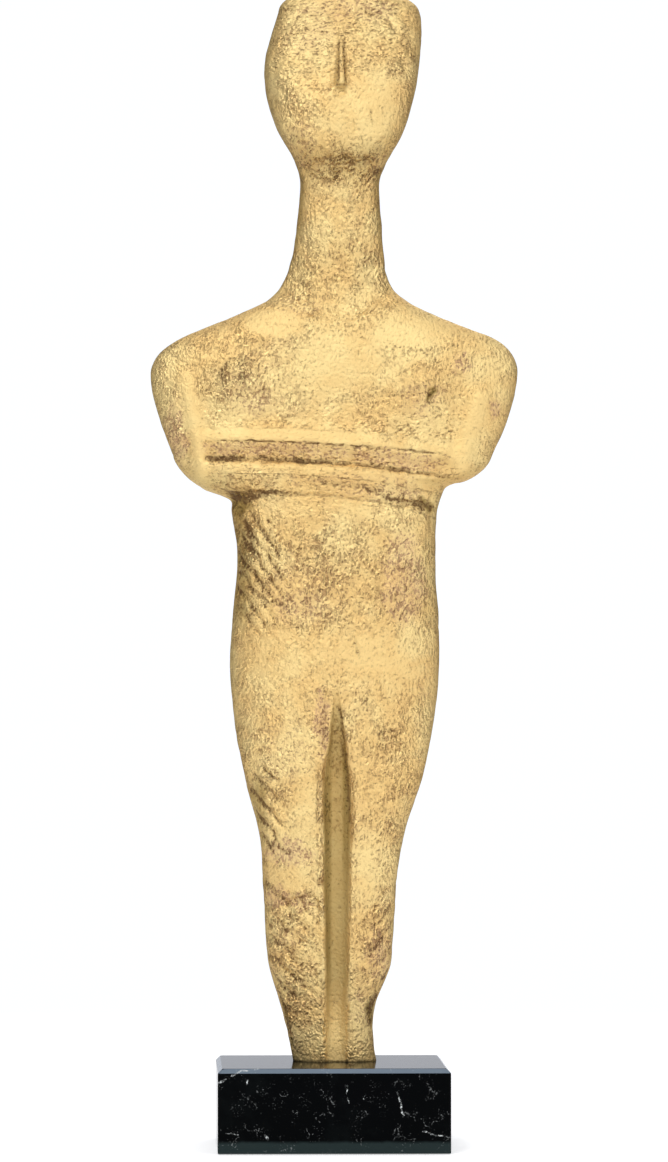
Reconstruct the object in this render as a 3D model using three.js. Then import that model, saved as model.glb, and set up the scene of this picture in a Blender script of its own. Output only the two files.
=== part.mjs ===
// A gold-toned metal cast of a folded-arm figurine, standing on a polished black marble plinth.
// Millimetres, +Z up. The origin is the centre of the plinth's underside and the figure faces -Y.
// Left and right are the viewer's, so left is -X. Heights on the figure count from its sole.
import * as THREE from "three";
import { ConvexGeometry } from "three/addons/geometries/ConvexGeometry.js";
import { ParametricGeometry } from "three/addons/geometries/ParametricGeometry.js";

const { clamp, lerp, smoothstep } = THREE.MathUtils;

// Plinth: a square sawn block of 20 mm slab, chamfered round its top, with a smaller cut down its corners.
// The figure stands a little behind its middle.
const PLINTH = { width: 55, depth: 55, height: 20, chamfer: 1.1, cornerCut: 0.5, setBack: 4.3 };

// Edges of the facets from the middle to one side, as shares of the half-width. In front they crowd
// at the nose and the cleft of the legs, at the inner edge of the upper arm, and at the side.
const FRONT_STOPS = [
  0, 0.03, 0.065, 0.105, 0.155, 0.25, 0.37, 0.5, 0.62, 0.72,
  0.77, 0.8, 0.83, 0.87, 0.91, 0.95, 0.98, 0.995, 1,
];
const BACK_STOPS = [0, 0.06, 0.16, 0.34, 0.54, 0.7, 0.82, 0.91, 0.965, 0.992, 1];

// Rings up the figure: from the height before, up to this height, no further apart than the step.
const RING_BANDS = [
  { to: 36, step: 4.5 },
  { to: 42, step: 2 },
  { to: 96, step: 5 },
  { to: 134, step: 5.6 },
  { to: 152, step: 1 },
  { to: 167, step: 3 },
  { to: 187, step: 2.3 },
  { to: 212, step: 5 },
  { to: 233, step: 3 },
  { to: 236, step: 1 },
  { to: 252, step: 3.2 },
];
const CROWN_RINGS = 6;

// Outline of the legs and trunk, seen from the front: how far it reaches to each side.
const TRUNK_OUTLINE = [
  { at: "sole", height: 0, left: 9.1, right: 10.9 },
  { at: "ankle", height: 9, left: 11.0, right: 10.1 },
  { at: "under the calf", height: 15.5, left: 12.7, right: 11.3 },
  { at: "calf", height: 21, left: 14.6, right: 13.9 },
  { at: "shin", height: 30, left: 15.7, right: 14.9 },
  { at: "knee", height: 46, left: 16.5, right: 16.1 },
  { at: "above the knee", height: 55, left: 17.4, right: 17.6 },
  { at: "thigh", height: 67, left: 20.5, right: 21.6 },
  { at: "upper thigh", height: 80, left: 23.0, right: 24.4 },
  { at: "hip", height: 92, left: 24.2, right: 25.9 },
  { at: "belly", height: 106, left: 23.8, right: 25.8 },
  { at: "waist", height: 121, left: 22.6, right: 25.1 },
  { at: "ribs", height: 132, left: 24.0, right: 25.6 },
  { at: "underarm", height: 139, left: 25.0, right: 27.9 },
];

// Outline of the arms, shoulders, neck and head.
const UPPER_OUTLINE = [
  { at: "elbow", height: 136, left: 34.7, right: 34.8 },
  { at: "above the elbow", height: 146, left: 38.3, right: 39.0 },
  { at: "upper arm", height: 154, left: 41.2, right: 42.5 },
  { at: "shoulder", height: 164, left: 43.3, right: 44.8 },
  { at: "shoulder corner", height: 168.6, left: 42.1, right: 44.2 },
  { at: "shoulder slope", height: 173.1, left: 36.8, right: 40.1 },
  { at: "collar", height: 178, left: 25.4, right: 27.5 },
  { at: "neck foot", height: 182.5, left: 15.5, right: 18.4 },
  { at: "neck flare", height: 185.2, left: 12.6, right: 15.1 },
  { at: "low neck", height: 191, left: 9.9, right: 13.1 },
  { at: "neck", height: 202, left: 8.1, right: 12.1 },
  { at: "neck top", height: 212.5, left: 7.6, right: 11.9 },
  { at: "jaw", height: 217, left: 9.3, right: 13.9 },
  { at: "lower cheek", height: 224, left: 13.0, right: 17.7 },
  { at: "cheek", height: 232, left: 15.6, right: 20.0 },
  { at: "temple", height: 240, left: 15.9, right: 21.4 },
  { at: "forehead", height: 247, left: 14.3, right: 21.9 },
  { at: "brow", height: 252, left: 12.7, right: 21.5 },
];

// Profile of the whole figure, seen from its side: the reach to its front and back.
const SIDE_PROFILE = [
  { at: "sole", height: 0, front: 6.0, back: 8.2 },
  { at: "ankle", height: 10, front: 6.4, back: 8.2 },
  { at: "calf", height: 23, front: 7.8, back: 10.4 },
  { at: "knee", height: 44, front: 9.6, back: 8.4 },
  { at: "thigh", height: 66, front: 10.6, back: 9.8 },
  { at: "hip", height: 90, front: 10.4, back: 13.2 },
  { at: "belly", height: 108, front: 9.5, back: 11.4 },
  { at: "waist", height: 124, front: 9.8, back: 9.0 },
  { at: "chest", height: 158, front: 9.0, back: 9.6 },
  { at: "shoulder", height: 172, front: 8.2, back: 8.8 },
  { at: "neck foot", height: 183, front: 6.2, back: 8.2 },
  { at: "neck", height: 198, front: 5.4, back: 7.4 },
  { at: "neck top", height: 211, front: 5.4, back: 7.4 },
  { at: "chin", height: 219.5, front: 10.0, back: 7.8 },
  { at: "mouth", height: 226, front: 10.8, back: 9.0 },
  { at: "nose", height: 236, front: 9.2, back: 10.6 },
  { at: "forehead", height: 246, front: 6.2, back: 11.6 },
  { at: "brow", height: 252, front: 3.6, back: 11.8 },
];

// The crown closes the head in a quarter ellipse above the brow.
const CROWN = { brow: 252, rise: 6.8 };

// The rings dip to the right along the folded arms, by a slope and a sag that level out past the hands.
// The dip is full between two heights and fades out above and below them.
const ARM_DIP = { slope: 0.065, sag: 0.0012, end: 30, from: 134, to: 152, soft: 16 };

// The middle of the cross-section, which the columns spread from to either side.
const MIDDLE = { body: 0.8, head: 2.3, shoulder: 168, jaw: 216 };

// Squareness of the cross-section: 2 is an ellipse, and more is flatter in front and at the back.
// It changes over to that of each higher part between two heights.
const SQUARENESS = { legs: 2.4, trunk: 2.9, neck: 2.7, head: 3.0 };
const CHANGE_OVER = { trunk: [85, 130], neck: [172, 186], head: [212, 226] };

// The elbows end below in quarter ellipses that start on the trunk.
const ELBOW = {
  left: { bottom: 135.7, top: 145, inner: 25.0 },
  right: { bottom: 138.3, top: 144, inner: 28.0 },
};

// Carving, in millimetres of rise above the plain body, or of depth below it.
const NOSE = {
  x: 2.2, top: 245.6, tip: 233.8, soft: 0.7,
  topWidth: 1.5, tipWidth: 2.6, topRise: 0.5, tipRise: 2.4,
};
const BREASTS = [
  { x: -21.0, height: 162.5 },
  { x: 21.2, height: 161.8 },
];
const BREAST = { radius: 6.5, rise: 1.5 };
const UPPER_ARM = {
  rise: 1.1, bottom: 140, bottomInner: 30.4, top: 164, topInner: 35,
  edgeInside: 1.4, edgeOutside: 0.8, full: 158, soft: 8,
};
const FOREARMS = [
  { top: 150.4, bottom: 144.1, rise: 1.6 },
  { top: 144.1, bottom: 135.7, rise: 1.5 },
];
const FOREARM_ENDS = { left: -29.6, right: 28.5, soft: 1.8, crest: 0.28 };
const NECKLINE = { x: 2, height: 178.2, curve: 0.03, depth: 1.3, soft: 2.2, fadeFrom: 188, fadeTo: 204 };
const CLEFT = {
  x: 1.1, top: 91, full: 68, bottomHalf: 2.4, fullHalf: 3.3, topHalf: 1.4,
  soleDepth: 1.4, deepFrom: 16, depth: 3.0,
};
const KNEE = { height: 38.4, depth: 0.6, halfHeight: 1.6, fadeFrom: -4, end: -2 };
const SPINE = { x: 0.8, bottom: 100, top: 178, soft: 6, halfWidth: 3.2, depth: 1.0 };
const BACK_CLEFT = { x: 0.8, top: 96, full: 82, halfWidth: 3.0, depth: 2.2 };

// A smooth curve of the named measures over height, through every landmark.
function profileOf(landmarks, measures) {
  const heights = landmarks.map((mark) => mark.height);
  const values = landmarks.flatMap((mark) => measures.map((measure) => mark[measure]));
  const curve = new THREE.CubicInterpolant(heights, values, measures.length);
  return (height) => {
    const found = curve.evaluate(height);
    return Object.fromEntries(measures.map((measure, i) => [measure, found[i]]));
  };
}

const FRONT_COLUMNS = 2 * (FRONT_STOPS.length - 1);
const BACK_COLUMNS = 2 * (BACK_STOPS.length - 1);
const FRONT_PART = FRONT_COLUMNS / (FRONT_COLUMNS + BACK_COLUMNS);
const trunkOutline = profileOf(TRUNK_OUTLINE, ["left", "right"]);
const upperOutline = profileOf(UPPER_OUTLINE, ["left", "right"]);
const sideProfile = profileOf(SIDE_PROFILE, ["front", "back"]);

// How far below its nominal height a ring runs at x.
function dip(x, height) {
  const along = clamp(x, -ARM_DIP.end, ARM_DIP.end);
  const drop = ARM_DIP.slope * along + ARM_DIP.sag * along * along;
  return drop * window(height, ARM_DIP.from, ARM_DIP.to, ARM_DIP.soft);
}

// How far the outline reaches to one side at a height.
function reach(side, height) {
  const elbow = ELBOW[side];
  if (height <= elbow.bottom) return trunkOutline(height)[side];
  const outline = upperOutline(height)[side];
  if (height >= elbow.top) return outline;
  const below = (elbow.top - height) / (elbow.top - elbow.bottom);
  return lerp(elbow.inner, outline, Math.sqrt(1 - below * below));
}

function squareness(height) {
  const trunk = lerp(SQUARENESS.legs, SQUARENESS.trunk, smoothstep(height, ...CHANGE_OVER.trunk));
  const neck = lerp(trunk, SQUARENESS.neck, smoothstep(height, ...CHANGE_OVER.neck));
  return lerp(neck, SQUARENESS.head, smoothstep(height, ...CHANGE_OVER.head));
}

// 1 between low and high, fading to 0 over the soft distance outside them.
function window(value, low, high, soft) {
  return smoothstep(value, low - soft, low) * (1 - smoothstep(value, high, high + soft));
}

// A wedge that widens and stands out towards its tip, which is cut off square below.
function nose(x, height) {
  const along = (NOSE.top - height) / (NOSE.top - NOSE.tip);
  const half = lerp(NOSE.topWidth, NOSE.tipWidth, along) / 2;
  const across = 1 - smoothstep(Math.abs(x - NOSE.x), 0.4 * half, 1.3 * half);
  return lerp(NOSE.topRise, NOSE.tipRise, along) * across * window(height, NOSE.tip, NOSE.top, NOSE.soft);
}

function breasts(x, height) {
  const mounds = BREASTS.map((breast) => {
    const away = Math.hypot(x - breast.x, height - breast.height) / BREAST.radius;
    return BREAST.rise * Math.exp(-away * away);
  });
  return mounds[0] + mounds[1];
}

// The upper arms stand a little above the chest, up to a straight inner edge on each side.
function upperArms(x, height) {
  const up = (height - UPPER_ARM.bottom) / (UPPER_ARM.top - UPPER_ARM.bottom);
  const inner = lerp(UPPER_ARM.bottomInner, UPPER_ARM.topInner, up);
  const beyond = smoothstep(Math.abs(x), inner - UPPER_ARM.edgeInside, inner + UPPER_ARM.edgeOutside);
  return UPPER_ARM.rise * beyond * window(height, UPPER_ARM.bottom, UPPER_ARM.full, UPPER_ARM.soft);
}

// Each forearm is a long ridge, steep above its crest and falling slowly to the groove below it.
// It lies along the rings, so its place is the ring's nominal height.
function forearms(x, ringHeight) {
  const { left, right, soft, crest } = FOREARM_ENDS;
  const rises = FOREARMS.map(({ top, bottom, rise }) => {
    const down = (top - ringHeight) / (top - bottom);
    const ridge = smoothstep(down, 0, crest) * (1 - 0.75 * smoothstep(down, crest, 1));
    return rise * ridge * (1 - smoothstep(down, 0.97, 1.06));
  });
  return Math.max(...rises) * window(x, left, right, soft);
}

// The neck is set back behind the chest, from a curved line between the shoulders.
function neckline(x, height) {
  const line = NECKLINE.height + NECKLINE.curve * (x - NECKLINE.x) ** 2;
  const fade = 1 - smoothstep(height, NECKLINE.fadeFrom, NECKLINE.fadeTo);
  return -NECKLINE.depth * smoothstep(height - line, -NECKLINE.soft, NECKLINE.soft) * fade;
}

// A half-round trough between the legs, shallow at the sole, that narrows and runs out at the groin.
function cleft(x, height) {
  const lower = lerp(CLEFT.bottomHalf, CLEFT.fullHalf, smoothstep(height, 0, CLEFT.full));
  const half = lerp(lower, CLEFT.topHalf, smoothstep(height, CLEFT.full, CLEFT.top));
  const across = Math.sqrt(Math.max(0, 1 - ((x - CLEFT.x) / half) ** 2));
  const depth = lerp(CLEFT.soleDepth, CLEFT.depth, smoothstep(height, 0, CLEFT.deepFrom));
  return -depth * across * (1 - smoothstep(height, CLEFT.full, CLEFT.top));
}

// The old break below the left knee.
function knee(x, height) {
  const across = 1 - smoothstep(x, KNEE.fadeFrom, KNEE.end);
  return -KNEE.depth * across * (1 - smoothstep(Math.abs(height - KNEE.height), 0, KNEE.halfHeight));
}

function frontCarving(x, height, ringHeight) {
  const folds = [nose, breasts, neckline, cleft, knee];
  const body = folds.reduce((sum, fold) => sum + fold(x, height), 0);
  return body + Math.max(upperArms(x, height), forearms(x, ringHeight));
}

function backCarving(x, height) {
  const spine = 1 - smoothstep(Math.abs(x - SPINE.x), 0, SPINE.halfWidth);
  const legs = 1 - smoothstep(Math.abs(x - BACK_CLEFT.x), 0.3 * BACK_CLEFT.halfWidth, BACK_CLEFT.halfWidth);
  return -SPINE.depth * spine * window(height, SPINE.bottom, SPINE.top, SPINE.soft)
    - BACK_CLEFT.depth * legs * (1 - smoothstep(height, BACK_CLEFT.full, BACK_CLEFT.top));
}

// Heights of the rings, each with the share of the full outline that it has. The first and last are points.
function ringStack() {
  const rings = [{ height: 0, share: 0 }, { height: 0, share: 1 }];
  let from = 0;
  for (const { to, step } of RING_BANDS) {
    const count = Math.ceil((to - from) / step);
    for (let i = 1; i <= count; i++) rings.push({ height: lerp(from, to, i / count), share: 1 });
    from = to;
  }
  for (let i = 1; i <= CROWN_RINGS; i++) {
    const angle = (i / CROWN_RINGS) * (Math.PI / 2);
    rings.push({ height: CROWN.brow + CROWN.rise * Math.sin(angle), share: Math.cos(angle) });
  }
  return rings;
}

// A share from -1 to 1 across the figure, for a place among the stops and their mirror image.
function shareAcross(stops, place) {
  const last = stops.length - 1;
  const at = Math.abs(2 * place - 1) * last;
  const share = lerp(stops[Math.floor(at)], stops[Math.ceil(at)], at % 1);
  return place < 0.5 ? -share : share;
}

// A point on the figure's skin: u runs round it from the left edge over the front, v up the rings.
function skinPoint(rings, u, v, target) {
  const at = v * (rings.length - 1);
  const below = rings[Math.floor(at)];
  const above = rings[Math.ceil(at)];
  const ringHeight = lerp(below.height, above.height, at % 1);
  const share = lerp(below.share, above.share, at % 1);

  const inFront = u <= FRONT_PART;
  const sideways = inFront
    ? shareAcross(FRONT_STOPS, u / FRONT_PART)
    : -shareAcross(BACK_STOPS, (u - FRONT_PART) / (1 - FRONT_PART));
  const left = -reach("left", ringHeight - dip(-ARM_DIP.end, ringHeight));
  const right = reach("right", ringHeight - dip(ARM_DIP.end, ringHeight));
  const middleX = lerp(MIDDLE.body, MIDDLE.head, smoothstep(ringHeight, MIDDLE.shoulder, MIDDLE.jaw));
  const x = lerp(middleX, sideways < 0 ? left : right, share * Math.abs(sideways));
  const height = ringHeight - dip(x, ringHeight);

  const { front, back } = sideProfile(ringHeight);
  const power = squareness(ringHeight);
  const fullness = Math.pow(Math.max(0, 1 - Math.pow(Math.abs(sideways), power)), 1 / power);
  const carving = inFront ? frontCarving(x, height, ringHeight) : backCarving(x, height);
  const thickness = fullness * (front + back) / 2 + carving * smoothstep(fullness, 0.15, 0.7);
  const middleY = (back - front) / 2;
  target.set(x, middleY + share * (inFront ? -thickness : thickness), height);
}

function makeFigurine() {
  const rings = ringStack();
  const skin = (u, v, target) => skinPoint(rings, u, v, target);
  const columns = FRONT_COLUMNS + BACK_COLUMNS;
  const geometry = new ParametricGeometry(skin, columns, rings.length - 1);
  const gold = new THREE.MeshStandardMaterial({ color: 0xd9b463, roughness: 0.45, metalness: 0.85 });
  const figurine = new THREE.Mesh(geometry, gold);
  figurine.name = "figurine";
  figurine.position.set(0, PLINTH.setBack, PLINTH.height);
  return figurine;
}

function makePlinth() {
  const { width, depth, height, chamfer, cornerCut } = PLINTH;
  const levels = [
    { z: 0, inset: 0 },
    { z: height - chamfer, inset: 0 },
    { z: height, inset: chamfer },
  ];
  const corners = [];
  for (const { z, inset } of levels) {
    for (const [signX, signY] of [[-1, -1], [1, -1], [1, 1], [-1, 1]]) {
      const x = signX * (width / 2 - inset);
      const y = signY * (depth / 2 - inset);
      corners.push(new THREE.Vector3(x - signX * cornerCut, y, z));
      corners.push(new THREE.Vector3(x, y - signY * cornerCut, z));
    }
  }
  const geometry = new ConvexGeometry(corners);
  const marble = new THREE.MeshStandardMaterial({ color: 0x0b0d0e, roughness: 0.12, metalness: 0 });
  const plinth = new THREE.Mesh(geometry, marble);
  plinth.name = "plinth";
  return plinth;
}

const statuette = new THREE.Group();
statuette.name = "statuette";
statuette.add(makePlinth(), makeFigurine());

export default statuette;
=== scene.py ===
"""A gold-toned cast figurine on a black marble plinth, dressed for the camera.

The figurine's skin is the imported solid's own rings, resampled closely and carved with the pits, creases
and worn places of an old casting. The plinth is a polished block with softened edges and white veins.
Sizes are in millimetres, meshes in metres. Left and right are the viewer's, heights on the figurine
count from its sole, and its front faces -Y.
"""

import logging
import math
from dataclasses import dataclass
from enum import Enum
from functools import cached_property, reduce
from typing import Any

import bmesh
import bpy
import numpy as np
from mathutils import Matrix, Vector, noise


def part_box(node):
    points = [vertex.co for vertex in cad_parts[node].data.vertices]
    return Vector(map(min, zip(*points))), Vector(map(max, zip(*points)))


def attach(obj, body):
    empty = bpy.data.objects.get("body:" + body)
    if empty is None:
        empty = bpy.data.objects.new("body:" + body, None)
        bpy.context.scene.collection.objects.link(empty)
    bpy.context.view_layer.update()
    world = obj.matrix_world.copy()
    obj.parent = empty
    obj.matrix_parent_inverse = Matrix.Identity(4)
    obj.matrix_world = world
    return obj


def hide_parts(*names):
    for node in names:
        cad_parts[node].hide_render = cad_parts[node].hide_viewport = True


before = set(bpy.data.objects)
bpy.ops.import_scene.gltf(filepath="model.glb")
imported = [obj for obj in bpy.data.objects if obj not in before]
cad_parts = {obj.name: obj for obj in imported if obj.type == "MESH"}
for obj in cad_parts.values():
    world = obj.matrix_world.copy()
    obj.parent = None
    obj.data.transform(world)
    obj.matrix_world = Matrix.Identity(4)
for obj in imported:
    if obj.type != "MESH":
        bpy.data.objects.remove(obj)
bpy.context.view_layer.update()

MM = 0.001
BODY = "root"
log = logging.getLogger("figurine_scene")

Colour = tuple[float, float, float]
Place = tuple[float, float]
Socket = bpy.types.NodeSocket

# Places across the folded arms, from -ARM_SPAN to ARM_SPAN, are kept on the skin as marks of 0 to 1.
ARM_SPAN = 3.0


def linear(red: int, green: int, blue: int) -> Colour:
    """Turn a display colour of 0 to 255 into the renderer's linear values."""
    shares = (red / 255, green / 255, blue / 255)
    return tuple(((c + 0.055) / 1.055) ** 2.4 if c > 0.04045 else c / 12.92 for c in shares)


def smoothstep(low: float, high: float, value: np.ndarray) -> np.ndarray:
    """Rise smoothly from 0 at low to 1 at high, or fall if low is the larger."""
    share = np.clip((value - low) / (high - low), 0.0, 1.0)
    return share * share * (3.0 - 2.0 * share)


def within(value: np.ndarray, low: float, high: float, soft: float) -> np.ndarray:
    """Give 1 between low and high, fading to 0 over the soft distance outside them."""
    return smoothstep(low - soft, low, value) * (1.0 - smoothstep(high, high + soft, value))


def swirl(points: np.ndarray, grain: tuple[float, float, float], seed: float) -> np.ndarray:
    """Sample smooth noise, about -1 to 1.

    Args:
        points: Places in millimetres, with the three coordinates last.
        grain: Size of one swell along x, y and z, in millimetres.
        seed: Offset that tells one noise from another.

    Returns:
        One value for each place.
    """
    scaled = points.reshape(-1, 3) / np.array(grain) + seed
    return np.array([noise.noise(place) for place in scaled.tolist()]).reshape(points.shape[:-1])


def distance_to_path(x: np.ndarray, height: np.ndarray, path: tuple[Place, ...]) -> np.ndarray:
    """Measure how far places on the front are from a path of straight lines.

    Args:
        x: Sideways places.
        height: Heights of the same places.
        path: Corners of the path as pairs of x and height.

    Returns:
        The distance from each place to the nearest line.
    """
    nearest = np.full(x.shape, np.inf)
    for (start_x, start_z), (end_x, end_z) in zip(path, path[1:]):
        run_x, run_z = end_x - start_x, end_z - start_z
        along = ((x - start_x) * run_x + (height - start_z) * run_z) / (run_x**2 + run_z**2)
        along = np.clip(along, 0.0, 1.0)
        away = np.hypot(x - start_x - along * run_x, height - start_z - along * run_z)
        nearest = np.minimum(nearest, away)
    return nearest


def cubic_resample(values: np.ndarray, knots: np.ndarray, at: np.ndarray) -> np.ndarray:
    """Follow a smooth curve through rows of values.

    Args:
        values: The rows, with the curve's direction first.
        knots: Rising place of each row along the curve.
        at: Places where the curve is wanted.

    Returns:
        One row for each place in at.
    """
    gaps = np.diff(knots)
    slopes = np.diff(values, axis=0) / gaps[:, None, None]
    tangents = np.empty_like(values)
    weight = (gaps[:-1] / (gaps[:-1] + gaps[1:]))[:, None, None]
    tangents[1:-1] = slopes[1:] * weight + slopes[:-1] * (1.0 - weight)
    tangents[0], tangents[-1] = slopes[0], slopes[-1]
    index = np.clip(np.searchsorted(knots, at, side="right") - 1, 0, len(gaps) - 1)
    t = ((at - knots[index]) / gaps[index])[:, None, None]
    gap = gaps[index][:, None, None]
    before, after = values[index], values[index + 1]
    rise = (1 + 2 * t) * (1 - t) ** 2 * before + t**2 * (3 - 2 * t) * after
    bend = t * (1 - t) ** 2 * tangents[index] - t**2 * (1 - t) * tangents[index + 1]
    return rise + bend * gap


def eased(points: np.ndarray, axis: int, passes: int, where: np.ndarray) -> np.ndarray:
    """Smooth a part of a surface.

    Args:
        points: The surface, by row and then column.
        axis: 0 to smooth along the columns, 1 to smooth along the rows.
        passes: How often each point is blended with its neighbours.
        where: 1 where the surface becomes smooth, 0 where it stays.

    Returns:
        The smoothed surface.
    """
    soft = points
    for _ in range(passes):
        soft = 0.25 * np.roll(soft, 1, axis=axis) + 0.5 * soft + 0.25 * np.roll(soft, -1, axis=axis)
    return points + (soft - points) * where[..., None]


def add_mesh(name: str, vertices: Any, faces: Any) -> bpy.types.Object:
    """Make a mesh object and link it to the scene.

    Args:
        name: The piece's name.
        vertices: Places in metres.
        faces: The vertices' numbers, face by face.

    Returns:
        The new piece.
    """
    mesh = bpy.data.meshes.new(name)
    mesh.from_pydata(vertices, [], faces)
    mesh.validate()
    piece = bpy.data.objects.new(name, mesh)
    bpy.context.scene.collection.objects.link(piece)
    return piece


class Mark(Enum):
    """What the skin carries from its carving to its finish, as a value at each vertex."""

    PIT_AND_SHADE = "pit_and_shade"
    ROUGH = "rough"
    LYING = "lying"
    STAIN_AND_SHADE = "stain_and_shade"
    SHADE = "shade"
    ACROSS = "across"
    ARMS = "arms"


class Value:
    """A number that changes over a surface: a node's output, with ordinary arithmetic."""

    def __init__(self, shader: "Shader", socket: Socket) -> None:
        """Wrap one output of a node."""
        self.shader = shader
        self.socket = socket

    def __add__(self, other: "Value | float") -> "Value":
        """Add."""
        return self.shader.math("ADD", self, other)

    def __radd__(self, other: float) -> "Value":
        """Add to a number."""
        return self.shader.math("ADD", other, self)

    def __sub__(self, other: "Value | float") -> "Value":
        """Subtract."""
        return self.shader.math("SUBTRACT", self, other)

    def __rsub__(self, other: float) -> "Value":
        """Subtract from a number."""
        return self.shader.math("SUBTRACT", other, self)

    def __mul__(self, other: "Value | float") -> "Value":
        """Multiply."""
        return self.shader.math("MULTIPLY", self, other)

    def __rmul__(self, other: float) -> "Value":
        """Multiply a number."""
        return self.shader.math("MULTIPLY", other, self)

    def __truediv__(self, other: "Value | float") -> "Value":
        """Divide."""
        return self.shader.math("DIVIDE", self, other)

    def __abs__(self) -> "Value":
        """Drop the sign."""
        return self.shader.math("ABSOLUTE", self)

    def either(self, other: "Value | float") -> "Value":
        """Take the larger of two values."""
        return self.shader.math("MAXIMUM", self, other)

    def rise(self, low: float, high: float) -> "Value":
        """Rise smoothly over a range.

        Args:
            low: Value that gives 0.
            high: Value that gives 1.

        Returns:
            The new value.
        """
        settings = {"interpolation_type": "SMOOTHSTEP"}
        inputs = {"Value": self, "From Min": low, "From Max": high}
        return self.shader.value("ShaderNodeMapRange", settings, inputs, "Result")


class Shader:
    """A node tree that is written as expressions."""

    def __init__(self, owner: bpy.types.Material | bpy.types.World) -> None:
        """Start an empty tree.

        Args:
            owner: The material or world that the tree belongs to.
        """
        owner.use_nodes = True
        self.tree = owner.node_tree
        self.tree.nodes.clear()

    def node(self, kind: str, settings: dict[str, Any], inputs: dict[Any, Any]) -> bpy.types.Node:
        """Add one node.

        Args:
            kind: The node's type.
            settings: Its properties, which are set before its sockets are.
            inputs: Values or links by the name or index of the socket.

        Returns:
            The new node.
        """
        made = self.tree.nodes.new(kind)
        for name, setting in settings.items():
            setattr(made, name, setting)
        for name, given in inputs.items():
            given = given.socket if isinstance(given, Value) else given
            if isinstance(given, Socket):
                self.tree.links.new(given, made.inputs[name])
            else:
                made.inputs[name].default_value = given
        return made

    def value(self, kind: str, settings: dict[str, Any], inputs: dict[Any, Any], output: Any) -> Value:
        """Add one node and take one of its outputs as a value."""
        return Value(self, self.node(kind, settings, inputs).outputs[output])

    def math(self, operation: str, *numbers: "Value | float") -> Value:
        """Add a Math node."""
        return self.value("ShaderNodeMath", {"operation": operation}, dict(enumerate(numbers)), 0)

    def vector(self, operation: str, inputs: dict[Any, Any], output: str = "Vector") -> Socket:
        """Add a Vector Math node and give one of its outputs."""
        return self.node("ShaderNodeVectorMath", {"operation": operation}, inputs).outputs[output]

    def mix(self, share: Value, first: Any, second: Any) -> Socket:
        """Blend from the first colour to the second.

        Args:
            share: 0 for the first colour, 1 for the second.
            first: A colour, or the output of another blend.
            second: The same.

        Returns:
            The blended colour.
        """
        made = self.node("ShaderNodeMix", {"data_type": "RGBA"}, {"Factor": share})
        for name, colour in (("A", first), ("B", second)):
            socket = next(s for s in made.inputs if s.name == name and s.type == "RGBA")
            if isinstance(colour, Socket):
                self.tree.links.new(colour, socket)
            else:
                socket.default_value = (*colour, 1.0)
        return next(s for s in made.outputs if s.type == "RGBA")

    def grain(self, place: Socket, size: float, detail: float, roughness: float = 0.5) -> Value:
        """Sample smooth noise of 0 to 1.

        Args:
            place: Where on the surface, in metres.
            size: Size of one swell in millimetres.
            detail: How many finer layers are added.
            roughness: How strong the finer layers are.

        Returns:
            The noise.
        """
        inputs = {"Vector": place, "Scale": 1 / (size * MM), "Detail": detail, "Roughness": roughness}
        return self.value("ShaderNodeTexNoise", {"noise_dimensions": "3D"}, inputs, "Fac")

    def bent(self, place: Socket, swells: float, detail: float, reach: float) -> Socket:
        """Bend places by noise.

        Args:
            place: Where on the surface, in metres.
            swells: Number of swells in a millimetre.
            detail: How many finer layers are added.
            reach: How far the places are bent, in millimetres.

        Returns:
            The bent places, in metres.
        """
        inputs = {"Vector": place, "Scale": swells / MM, "Detail": detail}
        sway = self.node("ShaderNodeTexNoise", {}, inputs).outputs["Color"]
        sway = self.vector("SUBTRACT", {0: sway, 1: (0.5, 0.5, 0.5)})
        return self.vector("MULTIPLY_ADD", {0: sway, 1: (reach * MM,) * 3, 2: place})

    def mark(self, mark: Mark) -> Value:
        """Read a value that the mesh carries."""
        return self.value("ShaderNodeAttribute", {"attribute_name": mark.value}, {}, "Fac")

    def place(self) -> Socket:
        """Give the place on the piece, in metres."""
        return self.node("ShaderNodeTexCoord", {}, {}).outputs["Object"]

    def surface(self, shader: bpy.types.Node) -> None:
        """Connect the finished shader to the material's output."""
        self.node("ShaderNodeOutputMaterial", {}, {"Surface": shader.outputs[0]})


@dataclass(frozen=True)
class ArmLine:
    """A thin dark line along the folded arms, in a groove or as painted shade under a forearm's band.

    Its place and half-width are shares of the recess between the forearms: 0 is the recess's lower edge
    and 1 its upper one.
    """

    place: float
    half_width: float
    dark: float


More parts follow.
